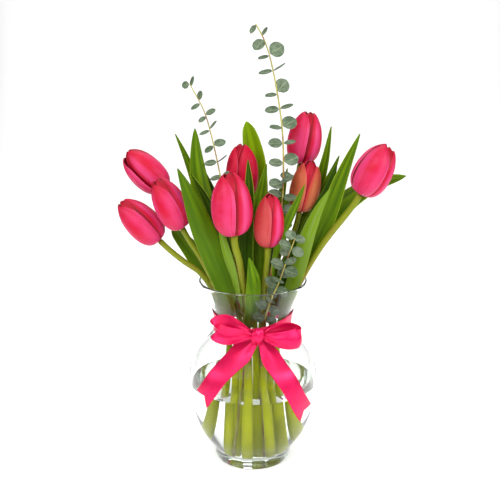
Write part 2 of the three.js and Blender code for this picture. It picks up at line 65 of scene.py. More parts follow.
VASE_UNDER = [(0, 1.6), (28, 1.5), (31, 1), (33.6, 0.2)]
VASE_OUTSIDE = [
    (36, 0), (39.8, 1.6), (42, 6.5), (41.4, 12), (48, 22), (56, 34), (64.4, 56), (69, 78),
    (69.7, 92), (64.4, 117), (47.6, 139), (40.8, 151), (41.9, 168), (49.3, 185), (57, 202),
]
VASE_INSIDE = [
    (55.2, 202), (47.6, 185.5), (40, 168), (38.9, 151), (45.3, 138), (62, 116),
    (66.7, 92), (66, 78), (61.2, 56), (52.6, 35), (44, 22), (36, 13.5), (27, 10.3), (18, 10),
]
BASE_THICKNESS = 10
RIM_TOP = 203
LIP_RADIUS = 56.1
LIP_WIDTH = 0.9
LIP_RISE = 1
VASE_SIDES = 96
CRISP_ANGLE = radians(35)
# The water overlaps the glass by this much, so that no layer of air shows between them.
WATER_SKIN = 0.12


class Tulip(NamedTuple):
    """A flower on its stem."""

    width: float  # of the flower
    turn: float  # where the first petal looks, in degrees from the front to the right
    twist: float  # how far the petals lean round towards their points, in degrees
    base: tuple  # of the flower
    tip: tuple
    route: list  # of the stem, from its foot
    radius: float = 3  # of the stem
    petals: tuple = ("pink",) * 3  # shades of the outer petals
    open: tuple = (0, 0, 0)  # how far their points stand out


TULIPS = {
    "front": Tulip(
        radius=3.6, width=42, turn=-54, twist=16, base=(-19, -35, 259), tip=(-25, -38, 322),
        route=[(-5, -23.6, 11.2), (-5, -23.6, 90), (-5.5, -24, 150), (-9.5, -28, 200), (-14, -31.5, 232)],
    ),
    "right_centre": Tulip(
        width=31, turn=-60, twist=9, base=(15, -28, 245), tip=(16.5, -28, 299),
        petals=("rose", "pink", "pink"),
        route=[(16, -19.5, 12.5), (11, -19.5, 90), (8.5, -19.5, 150), (12, -22.5, 200), (14, -26, 226)],
    ),
    "back_centre": Tulip(
        width=35, turn=-86, twist=6, base=(-11, 25, 284), tip=(-11.5, 25, 342),
        petals=("crimson",) * 3,
        route=[(4, 20, 11), (3.3, 20, 90), (1.8, 19.5, 150), (-4, 22.5, 200), (-10, 25, 250)],
    ),
    "left_middle": Tulip(
        width=35, turn=-38, twist=8, base=(-72.5, -15, 262), tip=(-97, -20, 312),
        route=[(-21, -15, 11), (-19, -13, 90), (-19.5, -13, 150), (-40, -12.5, 200), (-54, -14, 230)],
    ),
    "left_low": Tulip(
        width=36, turn=-36, twist=8, base=(-97, -5, 246), tip=(-136, -5, 286),
        route=[(-32, 18.5, 19.5), (-28, 6, 90), (-27, -2, 150), (-50.4, -5, 206), (-73, -5, 224)],
    ),
    "left_high": Tulip(
        width=35, turn=-95, twist=-8, base=(-92, 22, 295), tip=(-131, 24, 334),
        open=(3, 0, 0),
        route=[(-12, 15, 11), (-12, 13, 90), (-13.5, 11.5, 150), (-32, 15, 200), (-58, 19, 250)],
    ),
    "right_high": Tulip(
        width=37, turn=-59, twist=10, base=(50, 34, 320), tip=(58, 34, 374),
        route=[(13.5, 20, 12), (12, 21, 90), (12, 21, 150), (22, 25, 200), (38, 31, 265)],
    ),
    "half_open": Tulip(
        width=32, turn=-62, twist=6, base=(49, 13, 273), tip=(60, 13, 327),
        petals=("salmon",) * 3,
        route=[(22, 5.5, 11), (19, 4.5, 90), (20, 4.5, 150), (28, 6, 200), (40, 11, 240)],
    ),
    "far_right": Tulip(
        radius=3.3, width=40, turn=-31, twist=-8, base=(109, -10, 296), tip=(136, -10, 345),
        route=[(30, 19.5, 19.5), (27.5, 5, 90), (26.5, -8.5, 150), (50.6, -10, 205.5), (72, -10, 243)],
    ),
}

# A petal's side view, from the stem to its point: share of half width, share of length.
PETAL_SIDE = [
    (0.1, 0), (0.48, 0.03), (0.74, 0.1), (0.94, 0.24), (1.0, 0.42), (0.97, 0.55),
    (0.88, 0.7), (0.71, 0.83), (0.56, 0.9), (0.41, 0.955), (0.28, 0.985), (0.14, 1),
]


class Leaf(NamedTuple):
    """A leaf clasps a stem at a height, on one side of it, then follows a path to its tip."""

    on: str
    at: float
    side: float
    turn: float  # the way that the outer face looks at the tip
    width: float
    path: list
    shade: str = "mid"
    foot: float = 0.6  # share of the full width
    taper: float = 0.85  # a lower one makes a blunter tip


# A leaf with the dark shade is painted darker green as shade, where it lies in shadow.
LEAVES = {
    "left_thin": Leaf(
        "left_high", at=172, side=90, turn=90, width=14,
        path=[(-33, 21.5, 205), (-45, 24.5, 240), (-57, 27, 290), (-70, 26, 328), (-81, 25, 353)],
    ),
    "left_wide": Leaf(
        "left_high", at=174, side=-90, turn=-75, width=25, taper=0.7,
        path=[(-31, 8, 203), (-41, 5, 245), (-52, 4, 290), (-57, 5, 325), (-59, 6, 361)],
    ),
    "left_front": Leaf(
        "left_middle", at=166, side=-90, turn=-80, width=27, shade="deep",
        path=[(-27, -18, 194), (-37, -22.5, 225), (-50, -30, 262), (-63, -34.5, 300), (-74, -36, 327)],
    ),
    "left_folded": Leaf(
        "left_middle", at=168, side=90, turn=60, width=17, shade="dark",
        path=[(-26, -7, 194), (-28, -5, 235), (-38, -4, 269), (-50, -4, 294), (-63, -4, 316)],
    ),
    "left_low": Leaf(
        "left_low", at=156, side=80, turn=80, width=27, foot=0.46, taper=0.5,
        shade="deep",
        path=[(-33.5, 5, 188), (-39.5, 6, 204), (-54, 8, 220), (-69, 11, 238), (-86, 14, 254)],
    ),
    "back_centre": Leaf(
        "back_centre", at=190, side=90, turn=90, width=30, taper=0.4, shade="light",
        path=[(0, 34, 225), (2, 45, 270), (2, 50, 317), (-2, 50, 343), (-7, 50, 363)],
    ),
    "centre_dark": Leaf(
        "front", at=168, side=90, turn=90, width=18, shade="dark",
        path=[(-6, -16, 200), (-8, -12, 230), (-7, -9, 265), (-4, -7, 300), (-5, -7, 331)],
    ),
    "centre_right": Leaf(
        "right_centre", at=168, side=115, turn=90, width=19,
        path=[(6, -11, 200), (3, -4, 232), (4, 0, 267), (9, 2, 298), (14, 2, 325)],
    ),
    "front_small": Leaf(
        "front", at=158, side=-50, turn=-90, width=18,
        path=[(0, -32, 180), (1.5, -38, 205), (-1, -40, 224), (-4, -40, 237)],
    ),
    "right_thin": Leaf(
        "right_high", at=182, side=30, turn=90, width=15,
        path=[(35, 29, 208), (50, 31, 240), (66, 33, 282), (76, 33, 322), (82, 32, 360)],
    ),
    "right_short": Leaf(
        "right_high", at=174, side=-60, turn=-90, width=17,
        path=[(32, 19, 205), (50, 20, 240), (66, 20, 272), (80, 20, 305), (90, 20, 331)],
    ),
    "right_dark": Leaf(
        "half_open", at=172, side=-90, turn=-90, width=20, shade="dark",
        path=[(33, 1, 203), (48, 2.5, 232), (63, 4, 263), (78, 4, 297), (86, 3, 324)],
    ),
    "right_long": Leaf(
        "far_right", at=172, side=90, turn=90, width=21, foot=0.46,
        path=[(45, -4, 204), (57, -2, 228), (75, -1, 267), (93, -3, 320), (108, -4, 357)],
    ),
    "far_right": Leaf(
        "half_open", at=174, side=90, turn=90, width=27, foot=0.46, taper=0.6,
        path=[
            (38, 12.5, 204), (58, 11, 236), (79, 11, 264), (102, 12, 288), (130, 12, 304), (159, 11, 311),
        ],
    ),
    "right_front": Leaf(
        "right_centre", at=172, side=5, turn=-60, width=18,
        path=[(20, -18, 200), (25, -18, 231), (33, -15, 257), (43, -18, 283), (52, -22, 308)],
    ),
    "right_grey": Leaf(
        "far_right", at=166, side=-130, turn=-90, width=18, shade="grey",
        path=[(39, -17, 196), (47, -19, 225), (54, -19, 250), (65, -18, 278), (78, -17, 303)],
    ),
    "back_small": Leaf(
        "right_high", at=184, side=180, turn=90, width=14,
        path=[(18, 22, 215), (23, 20, 250), (30, 19, 290), (36, 18, 318)],
    ),
    "stem_wrap": Leaf(
        "front", at=174, side=-160, turn=-100, width=13, shade="grey",
        path=[(-18, -28, 203), (-24.8, -27.8, 229), (-30.5, -26.5, 252), (-35, -22, 272)],
    ),
    "back_left": Leaf(
        "back_centre", at=160, side=180, turn=110, width=22, shade="dark",
        path=[(-17, 26, 196), (-30, 38, 235), (-44, 48, 280), (-54, 54, 312)],
    ),
    "back_right": Leaf(
        "right_high", at=158, side=110, turn=70, width=22,
        path=[(16, 36, 198), (28, 49, 240), (42, 59, 275), (56, 66, 300)],
    ),
}
# Each shade's main colour, then a petal's sheen and what is deepest in it, or a leaf's dark.
# A petal's sheen colour is laid as random blotches, as painted sheen low down and as a painted highlight on
# its flanks.
PETAL_SHADES = {
    "inner": ("petal_deep", "petal", "petal_darkest_and_groove_shade"), "pink": ("petal", "petal_blotch_and_sheen", "petal_deep"),
    "crimson": ("petal", "petal", "petal_deep"), "rose": ("rose", "rose_blotch_and_sheen", "petal_deep"),
    "salmon": ("bud", "bud_blotch_and_sheen", "petal"),
}
# The dark shade is painted shade, for whole leaves that lie in shadow.
LEAF_SHADES = {
    "light": ("leaf_light", "leaf"), "mid": ("leaf", "leaf_dark"), "deep": ("leaf_deep", "leaf_dark"),
    "dark": ("leaf_dark", "leaf_shadow"), "grey": ("leaf_grey", "leaf"),
}
STEM_SWELL = 1.7
STEM_EVEN_HEIGHT = 200
STEM_NECK = 12
STEM_SEAT = 0.6
LEAF_FOLD = 0.32
LEAF_PEAK = 0.45
LEAF_TIP = 0.5
CLASP_LENGTH = 10
CLASP_GAP = 0.9


class Sprig(NamedTuple):
    """A eucalyptus sprig.

    A leaf is (height on the stem, radius, heading, lift, roll), with the angles in degrees:
    the way it grows, how far it tilts up, and how far its face turns from the sky towards
    the front.
    """

    radius: float
    full: float  # how much wider the leaves spread
    route: list
    leaves: list
    roll: float = 1  # share of the leaves' roll that is used


TWIG_TIP = 0.42
SPRIGS = {
    "tall": Sprig(
        radius=1.5, full=1.1,
        route=[
            (9, -2, 12), (8.5, -2, 90), (9, -3, 150), (17, -3, 200), (24, -1, 240), (30, -1, 285),
            (31, -7, 325), (29.5, -8, 360), (24.5, -5, 396), (16, -3, 435), (10, -3, 451), (2.5, -3, 464),
        ],
        leaves=[
            (463, 4.6, 190, -28, 20), (449, 6.6, 200, -22, 32), (452, 4.6, 20, 34, 0),
            (435, 7.6, 12, 12, 68), (433, 5.6, 190, 0, 12), (418, 6.8, 172, 4, 16), (418, 6.8, -12, 20, 0),
            (398, 7.2, 28, 40, 62), (396, 6, 196, -2, 12), (381, 7, 180, 2, 24), (381, 6.6, 4, 10, 10),
            (364, 7.6, 22, 18, 46), (363, 6.2, 200, 6, 16), (347, 7, 184, 4, 34), (347, 6, -8, 6, 14),
            (328, 7.4, 16, 14, 46), (327, 7, 188, 2, 26), (311, 7.2, -60, 10, 30), (306, 7.4, 206, 0, 34),
            (309, 6, 60, 20, 20), (292, 7.2, 172, 8, 26), (291, 7, -16, 0, 20), (276, 7, 10, 8, 44),
            (275, 6.4, 210, 10, 20), (262, 6.4, -20, 4, 40), (262, 6, 170, 8, 30),
        ],
    ),
    "left": Sprig(
        radius=1.3, full=1.25,
        route=[
            (-18.5, -23, 13), (-13, -16.5, 52), (-10.5, -7, 90), (-9.5, 1, 150), (-16, 5, 200),
            (-24, 6, 255), (-34, 8, 313), (-41, 11, 346), (-49.5, 12, 377), (-64, 12, 405),
        ],
        leaves=[
            (405, 3.4, 170, 10, 70), (402, 4.4, 10, 46, 10), (388, 4.2, 20, 50, 12), (385, 4.6, 190, -6, 14),
            (373, 4.8, 12, 12, 20), (372, 3.8, 196, -20, 18), (359, 4.6, -8, 34, 16), (357, 4.8, 176, -4, 14),
            (342, 5.4, 20, 10, 26), (342, 4.6, 190, -24, 20), (325, 5.6, 178, 4, 20), (325, 5.2, -10, 26, 0),
            (309, 5.6, -40, 10, 44), (308, 5.4, 140, 10, 20), (290, 5.4, 0, 10, 20), (290, 5.4, 180, 10, 20),
        ],
    ),
    "front": Sprig(
        radius=1.2, full=1.28, roll=0.6,
        route=[
            (9, -24, 112), (10.5, -27.5, 150), (14, -30.5, 176), (20.5, -34, 195), (27, -37.5, 212),
            (34, -39.5, 234), (42, -40.5, 257),
        ],
        leaves=[
            (256, 4.6, 150, 20, 60), (255, 4.6, 20, 20, 60), (248, 5.6, 190, 0, 62), (246, 5.4, -8, -6, 58),
            (238, 5, 120, 30, 60), (236, 5.2, -60, 0, 40), (227, 6, 184, 6, 60), (224, 6, -6, 0, 56),
            (215, 5.4, 60, 30, 50), (213, 5.6, -110, 10, 40), (206, 6, 182, 10, 56), (202, 5.6, 6, -4, 58),
            (192, 5.6, 90, 30, 60), (191, 4.2, -100, 6, 44), (182, 6, 186, 6, 52), (178, 5.2, 16, 6, 60),
            (168, 5.4, 190, 10, 56), (166, 5, 18, 6, 56), (155, 3.2, -60, 20, 56),
        ],
    ),
}

BAND_BOTTOM = 148.5
KNOT_CENTRE = (4.7, -46.7, 156)
KNOT_HALF = (6.5, 4.8, 8.5)
# Each tail's centre line as seen from the front, as (x, height) in millimetres; it is laid on the glass,
# which curves away.
TAIL_LEFT = [(3, 151), (-10, 140), (-22, 129.5), (-35, 116), (-53, 86)]
TAIL_RIGHT = [(7.5, 151), (18, 134.5), (29, 120), (38.5, 105), (55, 67)]
LOOP_LEFT = [
    (-1.3, -49.2, 157), (-13, -54.5, 159), (-29, -55, 160), (-39, -50.5, 165), (-29, -46, 169),
    (-14, -45.6, 164), (-2.4, -46, 159),
]
LOOP_RIGHT = [
    (10.7, -49.2, 156.5), (23, -54.5, 155), (37, -55.5, 155), (46.5, -51, 156.5), (38, -46, 160),
    (24, -45.6, 160), (11.8, -46, 158),
]


# ---- lines and shares


def smooth(low, high, value):
    """0 below low, 1 above high, and an S curve between."""
    t = min(max((value - low) / (high - low), 0), 1)
    return t * t * (3 - 2 * t)


def mix(low, high, share):
    return low + (high - low) * share


def heading(degrees):
    """A level unit vector: 0 is +X and 90 is +Y."""
    angle = radians(degrees)
    return Vector((cos(angle), sin(angle), 0))


def across_to(direction, axis):
    """The part of a direction that is square to an axis, as a unit vector."""
    return (direction - axis * direction.dot(axis)).normalized()


class Line:
    """A smooth line through places in millimetres, measured along its length in metres."""

    def __init__(self, places, steps=16):
        knots = [Vector(place) * MM for place in places]
        knots = [2 * knots[0] - knots[1], *knots, 2 * knots[-1] - knots[-2]]
        self.points = []
        for before, start, end, after in zip(knots, knots[1:], knots[2:], knots[3:]):
            first = sqrt((start - before).length)
            middle = sqrt((end - start).length)
            last = sqrt((after - end).length)
            leaving = (start - before) / first - (end - before) / (first + middle)
            leaving = (leaving + (end - start) / middle) * middle
            arriving = (end - start) / middle - (after - start) / (middle + last)
            arriving = (arriving + (after - end) / last) * middle
            for step in range(steps):
                t = step / steps
                self.points.append(
                    start * (2 * t**3 - 3 * t**2 + 1)
                    + leaving * (t**3 - 2 * t**2 + t)
                    + end * (3 * t**2 - 2 * t**3)
                    + arriving * (t**3 - t**2)
                )
        self.points.append(knots[-2])
        self.lengths = [0.0]
        for start, end in zip(self.points, self.points[1:]):
            self.lengths.append(self.lengths[-1] + (end - start).length)

    @property
    def length(self):
        return self.lengths[-1]

    def place(self, share):
        """The place at a share of the length."""
        target = min(max(share, 0), 1) * self.length
        index = min(max(bisect.bisect_right(self.lengths, target), 1), len(self.points) - 1)
        low, high = self.lengths[index - 1], self.lengths[index]
        return self.points[index - 1].lerp(self.points[index], (target - low) / (high - low))

    def way(self, share):
        """The direction that the line runs in at a share of its length."""
        return (self.place(share + 0.02) - self.place(share - 0.02)).normalized()

    def share_at_height(self, height):
        """The share of the length at which a rising line reaches a height in millimetres."""
        low, high = 0.0, 1.0
        for _ in range(30):
            middle = (low + high) / 2
            if self.place(middle).z < height * MM:
                low = middle
            else:
                high = middle
        return low


def profile_points(places, steps):
    """A smooth profile through (radius, height) places."""
    line = Line([(r, 0, z) for r, z in places])
    spots = [line.place(step / steps) / MM for step in range(steps + 1)]
    return [(spot.x, spot.z) for spot in spots]


VASE_WALL = profile_points(VASE_OUTSIDE, 60)
VASE_INNER_WALL = profile_points(VASE_INSIDE, 54)


def wall_radius(height):
    """Radius in millimetres of the vase's outside at a height."""
    for (r0, z0), (r1, z1) in zip(VASE_WALL, VASE_WALL[1:]):
        if z0 <= height <= z1:
            return mix(r0, r1, (height - z0) / (z1 - z0))
    raise ValueError(f"the vase has no wall at {height} mm")


# ---- pieces


def put(name, data):
    """A new object in the scene."""
    thing = bpy.data.objects.new(name, data)
    bpy.context.scene.collection.objects.link(thing)
    return thing


def smooth_object(name, bm, finish):
    """An object with a bmesh's shape."""
    for face in bm.faces:
        face.smooth = True
    mesh = bpy.data.meshes.new(name)
    bm.to_mesh(mesh)
    bm.free()
    mesh.materials.append(finish)
    return put(name, mesh)


def piece(name, bm, finish, node, thickness=0.0, levels=1):
    """A finished piece that rides with the vase, with its thickness in metres."""
    thing = smooth_object(name, bm, finish)
    if thickness:
        wall = thing.modifiers.new("Thickness", "SOLIDIFY")
        wall.thickness = thickness
        wall.offset = 0
        wall.use_even_offset = False
    if levels:
        smoothing = thing.modifiers.new("Smoothing", "SUBSURF")
        smoothing.levels = levels
        smoothing.render_levels = levels
    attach(thing, "root")
    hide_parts(node)
    return thing


def closed(bm):
    """Merges a shape's seams and turns its faces outwards."""
    bmesh.ops.remove_doubles(bm, verts=bm.verts, dist=SEAM)
    bmesh.ops.recalc_face_normals(bm, faces=bm.faces)
    return bm


def grid(across, along, rule, bm=None):
    """A grid of faces bent by a rule of across (-1 to 1) and along (0 to 1)."""
    bm = bm or bmesh.new()
    if not bm.loops.layers.uv:
        bm.loops.layers.uv.new("UVMap")
    made = bmesh.ops.create_grid(bm, x_segments=across, y_segments=along, size=1, calc_uvs=True)
    for vertex in made["verts"]:
        vertex.co = rule(vertex.co.x, (vertex.co.y + 1) / 2)
    return bm


def tube(line, radius, sides, rows, bm=None):
    """A round bar along a line, with a radius rule of along, in millimetres."""

    def rule(u, v):
        way = line.way(v)
        front = across_to(FRONT, way)
        side = way.cross(front)
        reach = radius(v) * MM
        return line.place(v) + (front * cos(pi * u) + side * sin(pi * u)) * reach

    bm = grid(sides, rows, rule, bm)
    bmesh.ops.remove_doubles(bm, verts=bm.verts, dist=SEAM)
    rims = [edge for edge in bm.edges if edge.is_boundary]
    bmesh.ops.holes_fill(bm, edges=rims, sides=0)
    bmesh.ops.recalc_face_normals(bm, faces=bm.faces)
    return bm


def turned(profile):
    """A solid of revolution from (radius, height) points in millimetres, crisp at its corners."""
    bm = bmesh.new()
    spots = [bm.verts.new((r * MM, 0, z * MM)) for r, z in profile]
    edges = [bm.edges.new(pair) for pair in zip(spots, spots[1:])]
    bmesh.ops.spin(
        bm, geom=spots + edges, cent=(0, 0, 0), axis=(0, 0, 1), angle=2 * pi,
        steps=VASE_SIDES, use_merge=True,
    )
    for edge in closed(bm).edges:
        edge.smooth = edge.calc_face_angle(0) < CRISP_ANGLE
    return bm


# ---- finishes


class Value:
    """A shader value that can be used in sums."""

    def __init__(self, finish, socket):
        self.finish = finish
        self.socket = socket

    def _sum(self, operation, *values):
        return self.finish.node("ShaderNodeMath", {"operation": operation}, dict(enumerate(values)))

    def __add__(self, other):
        return self._sum("ADD", self, other)

    __radd__ = __add__

    def __sub__(self, other):
        return self._sum("SUBTRACT", self, other)

    def __rsub__(self, other):
        return self._sum("SUBTRACT", other, self)

    def __mul__(self, other):
        return self._sum("MULTIPLY", self, other)

    __rmul__ = __mul__

    def __abs__(self):
        return self._sum("ABSOLUTE", self)

    def between(self, low, high):
        """0 below low, 1 above high, and an S curve between."""
        return self.finish.node(
            "ShaderNodeMapRange", {"interpolation_type": "SMOOTHSTEP"},
            {"Value": self, "From Min": low, "From Max": high},
        )


class Finish:
    """A procedural material, built node by node over a colour of the settings, or white."""

    def __init__(self, name, base=None, **constants):
        self.tone = colour(base) if base else WHITE
        self.material = bpy.data.materials.new(name)
        self.material.use_nodes = True
        self.tree = self.material.node_tree
        self.shader = self.tree.nodes["Principled BSDF"]
        for socket, value in constants.items():
            self.shader.inputs[socket.replace("_", " ")].default_value = value

    def node(self, kind, settings=None, values=None, output=0):
        """Adds a node: its settings first, then the values or links of its sockets."""
        node = self.tree.nodes.new(kind)
        for name, value in (settings or {}).items():
            setattr(node, name, value)
        for key, value in (values or {}).items():
            if isinstance(value, Value):
                self.tree.links.new(value.socket, node.inputs[key])
            else:
                node.inputs[key].default_value = value
        return Value(self, node.outputs[output])

    def done(self, **links):
        """Links the colour and other values to the shader, and gives the material."""
        for socket, value in {"Base_Color": self.tone, **links}.items():
            self.tree.links.new(value.socket, self.shader.inputs[socket.replace("_", " ")])
        return self.material

    def place(self, output="Object"):
        return self.node("ShaderNodeTexCoord", output=output)

    def split(self, vector):
        split = self.node("ShaderNodeSeparateXYZ", values={0: vector})
        return [Value(self, socket) for socket in split.socket.node.outputs]

    def stretched(self, vector, scale):
        return self.node("ShaderNodeMapping", values={"Vector": vector, "Scale": scale})

    def noise(self, vector, scale, detail=3.0, roughness=0.5):
        values = {"Vector": vector, "Scale": scale, "Detail": detail, "Roughness": roughness}
        return self.node("ShaderNodeTexNoise", values=values)

    def blend(self, factor, low, high):
        """A colour between two colours."""
        return self.node(
            "ShaderNodeMix", {"data_type": "RGBA"}, {0: factor, 6: low, 7: high}, output=2,
        )

    def coat(self, mask, name):
        """Lays a colour of the settings over the others where the mask is 1."""
        self.tone = self.blend(mask, self.tone, colour(name))

    def tint(self, name, density):
        """Colours what lies behind by how thick the clear piece is, with the density per metre."""
        values = {"Color": colour(name), "Density": density}
        tinted = self.node("ShaderNodeVolumeAbsorption", values=values)
        self.tree.links.new(tinted.socket, self.tree.nodes["Material Output"].inputs["Volume"])

    def relief(self, height, strength, distance):
        """A normal that follows a height, with its depth in millimetres."""
        values = {"Height": height, "Strength": strength, "Distance": distance * MM}
        return self.node("ShaderNodeBump", values=values)


def settings():
    return bpy.context.scene.bouquet


def colour(name):
    """A colour of the settings, with alpha."""
    return (*getattr(settings(), name), 1.0)


def size_of(name):
    """A size of the settings in metres. Blender keeps it in single precision, so it is rounded."""
    return round(getattr(settings(), name), 7)


def shared(name, make):
    """A finish that is made once and then found by name."""
    return bpy.data.materials.get(name) or make(name)


def petal_finish(name, main, sheen, deep):
    """Satin petal: fine veins, painted sheen low down, a painted highlight on its flanks, painted shade along
    its covered side in the groove, one pale margin, a deep tip and a cream foot.
    """
    finish = Finish(name, main, Specular_IOR_Level=0.2)
    uv = finish.place("UV")
    across, along, _ = finish.split(uv)
    edge = abs(across * 2 - 1)
    veins = finish.noise(finish.stretched(uv, (46, 1.6, 1)), 1.0, 4.0, 0.6)
    blotches = finish.noise(finish.place(), 90.0, 2.0)
    finish.coat(blotches.between(0.35, 0.7) * 0.25, sheen)
    # Painted sheen: lighter pink over the lower petal, less towards its edges.
    body = (1 - edge.between(0.35, 1.0) * 0.6) * (1 - along.between(0.12, 0.6))
    finish.coat(body * 0.5, sheen)
    # Painted highlight: lighter pink in broad streaks on both flanks of each petal, most on one side, fading
    # towards the tip.
    streaks = finish.noise(finish.stretched(uv, (11, 0.9, 1)), 1.0, 2.0, 0.5)
    painted_highlight = across.between(0.6, 0.92) + across.between(0.22, 0.3) * (1 - across.between(0.36, 0.5))
    painted_highlight = painted_highlight * (1 - along.between(0.6, 1.0))
    finish.coat(painted_highlight * streaks.between(0.25, 0.55) * 0.85, sheen)
    finish.coat(veins.between(0.45, 0.75) * 0.35, deep)
    finish.coat(along.between(0.65, 1.0) * 0.5, deep)
    # Painted shade: deep crimson, then the darkest, in the groove along the side that tucks under the next
    # petal.
    finish.coat((1 - across).between(0.73, 0.86) * 0.85, deep)
    finish.coat((1 - across).between(0.81, 0.87) * 0.8, "petal_darkest_and_groove_shade")
    finish.coat((1 - edge.between(0.0, 0.06)) * 0.2, deep)
    finish.coat(across.between(0.955, 0.99) * 0.35, "petal_margin")
    finish.coat(1 - along.between(0.0, 0.06), "petal_foot")
    normal = finish.relief(veins + blotches * 0.3, 0.35, 0.5)
    return finish.done(Roughness=veins * 0.16 + 0.36, Normal=normal)


def leaf_finish(name, main, dark):
    """Satin leaf with fine parallel veins, a pale midrib and a bright thin edge."""
    finish = Finish(name, dark, Specular_IOR_Level=0.08)
    uv = finish.place("UV")
    across, along, _ = finish.split(uv)
    edge = abs(across * 2 - 1)
    veins = finish.noise(finish.stretched(uv, (60, 0.9, 1)), 1.0, 3.0, 0.55)
    patches = finish.noise(finish.stretched(uv, (3, 1.5, 1)), 1.3, 2.0)
    finish.coat(patches.between(0.3, 0.7), main)
    finish.coat(veins.between(0.42, 0.72) * 0.6, dark)
    finish.coat((1 - edge.between(0.0, 0.05)) * 0.08, "leaf_edge")
    finish.coat(edge.between(0.93, 0.99) * 0.85, "leaf_edge")
    finish.coat((1 - along.between(0.0, 0.2)) * 0.8, "leaf_foot")
    normal = finish.relief(veins, 0.4, 0.35)
    return finish.done(Roughness=veins * 0.2 + 0.32, Normal=normal)


def stem_finish(name):
    """Smooth yellow-green stem, brighter low down, with a brown flush in places."""
    finish = Finish(name, "stem", Roughness=0.42, Specular_IOR_Level=0.2)
    uv = finish.place("UV")
    along = finish.split(uv)[1]
    streaks = finish.noise(finish.stretched(uv, (14, 5, 1)), 1.0, 3.0, 0.6)
    finish.coat(streaks.between(0.35, 0.7), "stem_light")
    flush = finish.noise(finish.stretched(uv, (1.5, 3, 1)), 1.7, 2.0).between(0.5, 0.75)
    finish.coat((1 - along.between(0.3, 0.5)) * 0.85, "stem_wet")
    patches = finish.noise(finish.place(), 26.0, 1.0).between(0.42, 0.66)
    finish.coat(patches * 0.45, "stem")
    finish.coat(flush * along.between(0.45, 0.7) * 0.8, "stem_flush")
    return finish.done(Normal=finish.relief(streaks, 0.3, 0.3))


def eucalyptus_finish(name):
    """Matt grey-green with a pale bloom, fine side veins and a pale midrib."""
    finish = Finish(name, "eucalyptus", Roughness=0.62, Specular_IOR_Level=0.15)
    across, along, _ = finish.split(finish.place("UV"))
    edge = abs(across * 2 - 1)
    bloom = finish.noise(finish.place(), 170.0, 4.0, 0.65)
    finish.coat(bloom.between(0.38, 0.66), "eucalyptus_bloom")
    slant = finish.node("ShaderNodeMath", {"operation": "SINE"}, {0: (along - edge * 0.35) * 62})
    finish.coat(slant.between(0.6, 1.0) * 0.22, "eucalyptus_vein")
    finish.coat((1 - edge.between(0.02, 0.1)) * 0.5, "eucalyptus_vein")
    return finish.done(Normal=finish.relief(bloom + slant * 0.2, 0.3, 0.2))


def twig_finish(name):
    """Thin cream-yellow twig with a reddish side."""
    finish = Finish(name, "twig", Roughness=0.55, Specular_IOR_Level=0.2)
    red = finish.noise(finish.place(), 60.0, 3.0, 0.6)
    finish.coat(red.between(0.45, 0.7), "twig_red")
    return finish.done(Normal=finish.relief(red, 0.4, 0.3))


def satin_finish(name):
    """Satin ribbon: a smooth sheen with a very fine weave across it."""
    finish = Finish(name, "ribbon", Metallic=0.4, Specular_IOR_Level=0.28, Anisotropic=0.4)
    uv = finish.place("UV")
    across = finish.split(uv)[0]
    threads = finish.noise(finish.stretched(uv, (160, 12, 1)), 1.0, 2.0, 0.6)
    soft = finish.noise(finish.place(), 60.0, 2.0)
    finish.coat(soft.between(0.3, 0.7), "ribbon_light")
    finish.coat(threads.between(0.4, 0.8) * 0.2, "ribbon_deep")
    selvedge = abs(across * 2 - 1).between(0.95, 0.99)
    finish.coat(selvedge * 0.4, "ribbon_deep")
    normal = finish.relief(threads + selvedge * 0.6, 0.25, 0.15)
    return finish.done(Roughness=threads * 0.1 + 0.27, Normal=normal)


def glass_finish(name):
    """Clear glass with a faint green cast and the slight waves of pressed glass."""
    finish = Finish(
        name, Roughness=0.0, IOR=1.35, Transmission_Weight=1.0, Specular_Tint=(0.22, 0.22, 0.22, 1),
    )
    finish.tint("glass_thick", 8.0)
    waves = finish.noise(finish.stretched(finish.place(), (1, 1, 2.2)), 26.0, 1.0)
    finish.coat(waves.between(0.2, 0.8), "glass")
    return finish.done(Normal=finish.relief(waves, 0.12, 0.6))


def water_finish(name):
    """Clear water with a faint green cast."""
    finish = Finish(
        name, "water", Roughness=0.0, IOR=1.333, Transmission_Weight=1.0, Specular_Tint=(0.1, 0.1, 0.1, 1),
    )
    ripples = finish.noise(finish.place(), 40.0, 1.0)
    finish.coat(ripples.between(0.2, 0.8), "water_deep")
    return finish.done(Normal=finish.relief(ripples, 0.1, 0.3))


def studio_finish(name):
    """Plain white paper for the floor and the backdrop, with painted shade that turns it grey far out at the
    sides.
    """
    finish = Finish(name, Roughness=0.9, Specular_IOR_Level=0.0, Emission_Strength=0.4)
    sideways, back, _ = finish.split(finish.place())
    # Painted shade: the paper and its glow turn grey far out at the sides, standing in for the darker studio
    # round it.
    far = (abs(sideways) - back * 0.19).between(0.4, 0.75)
    grain = finish.noise(finish.place(), 3.0, 2.0)
    paper = finish.blend(grain, (0.93, 0.93, 0.93, 1), (0.95, 0.95, 0.95, 1))
    finish.tone = finish.blend(far, paper, (0.18, 0.18, 0.18, 1))
    return finish.done(Emission_Color=finish.blend(far, WHITE, (0.15, 0.15, 0.15, 1)))


# ---- vase and water


def make_vase():
    turns = [pi * step / 8 for step in range(1, 8)]
    low = RIM_TOP - LIP_RISE
    lip = [(LIP_RADIUS + LIP_WIDTH * cos(turn), low + LIP_RISE * sin(turn)) for turn in turns]
    wall = [*VASE_UNDER, *VASE_WALL, *lip, *VASE_INNER_WALL, (0, BASE_THICKNESS)]
    piece("vase_glass", turned(wall), shared("clear glass", glass_finish), "vase", levels=0)


